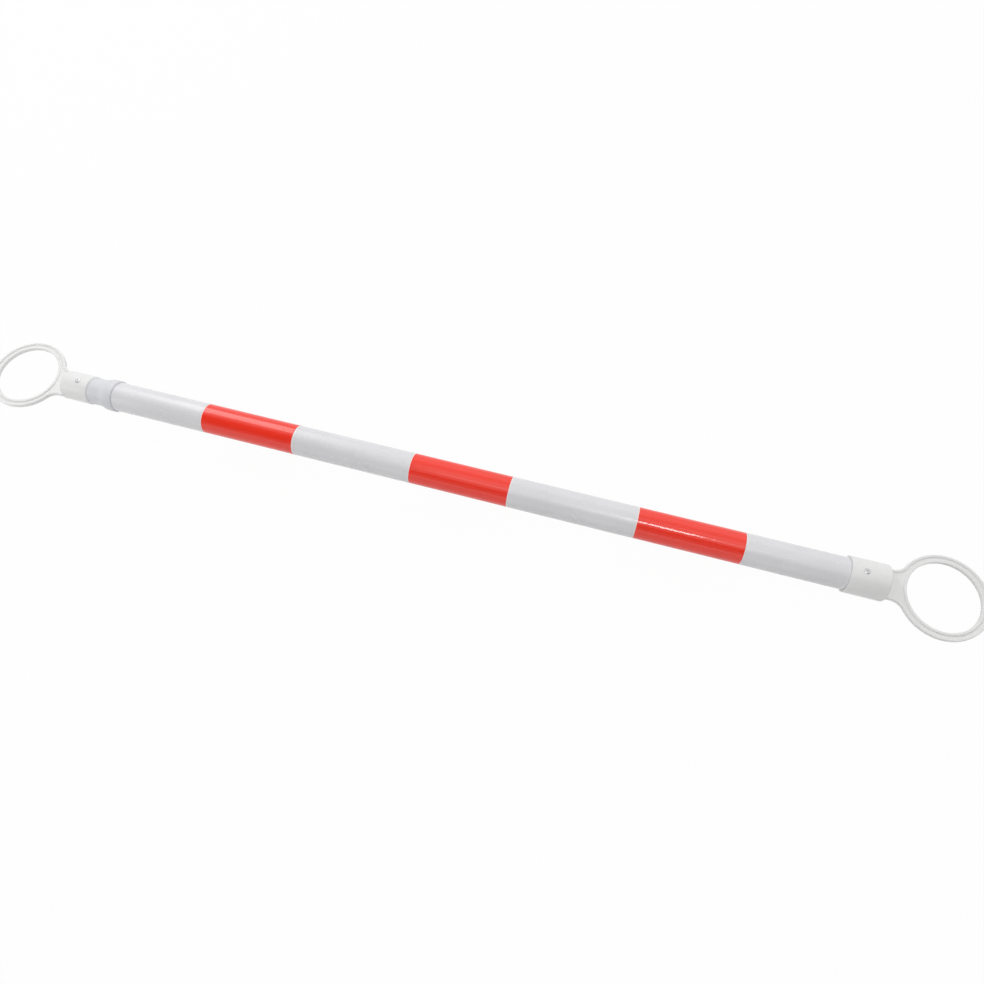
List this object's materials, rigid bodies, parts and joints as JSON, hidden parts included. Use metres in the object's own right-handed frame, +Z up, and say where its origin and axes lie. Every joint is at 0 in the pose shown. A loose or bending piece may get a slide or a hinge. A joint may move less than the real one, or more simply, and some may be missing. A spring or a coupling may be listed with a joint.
{
  "type": "cone bar",
  "caption": "Telescopic barrier bar with a ring at each end that drops over a road cone; a striped outer tube holds an inner tube that draws out and turns.",
  "frame": {"origin": "middle of the pushed-in bar, on its axis", "axes": "+X along the bar towards the fixed ring end, +Z up, square to the rings"},
  "size_m": [1.1403, 0.089, 0.0398],
  "materials": {
    "tube_white": "smooth extruded white plastic",
    "sheet_white": "white reflective sheeting under a clear film",
    "sheet_red": "red reflective sheeting under a clear film",
    "collar_grey": "satin bluish grey moulded plastic",
    "moulding_white": "satin white moulded plastic",
    "bearing_ivory": "plain moulded bearing plastic",
    "plug_grey": "plain moulded grey plastic",
    "brake_rubber": "black rubber",
    "rivet_metal": "satin blind rivet"
  },
  "bodies": {
    "outer": {"outer_tube": "tube_white", "white_sheet_1": "sheet_white", "white_sheet_2": "sheet_white", "white_sheet_3": "sheet_white", "white_sheet_4": "sheet_white", "red_sheet_1": "sheet_red", "red_sheet_2": "sheet_red", "red_sheet_3": "sheet_red", "reducing_collar": "collar_grey", "collar_guide_ring": "bearing_ivory", "fixed_ring_end": "moulding_white", "fixed_end_rivets": "rivet_metal"},
    "bush": {"guide_bush": "bearing_ivory", "brake_ring": "brake_rubber"},
    "inner": {"stop_plug": "plug_grey", "inner_tube": "tube_white", "sliding_ring_end": "moulding_white", "sliding_end_rivets": "rivet_metal"}
  },
  "joints": [
    {"name": "draw_out", "type": "slide", "parent": "outer", "child": "bush", "axis": [-1, 0, 0], "range_m": [0, 0.77]},
    {"name": "ring_turn", "type": "hinge", "parent": "bush", "child": "inner", "pos_m": [0, 0, 0], "axis": [1, 0, 0], "continuous": true}
  ]
}
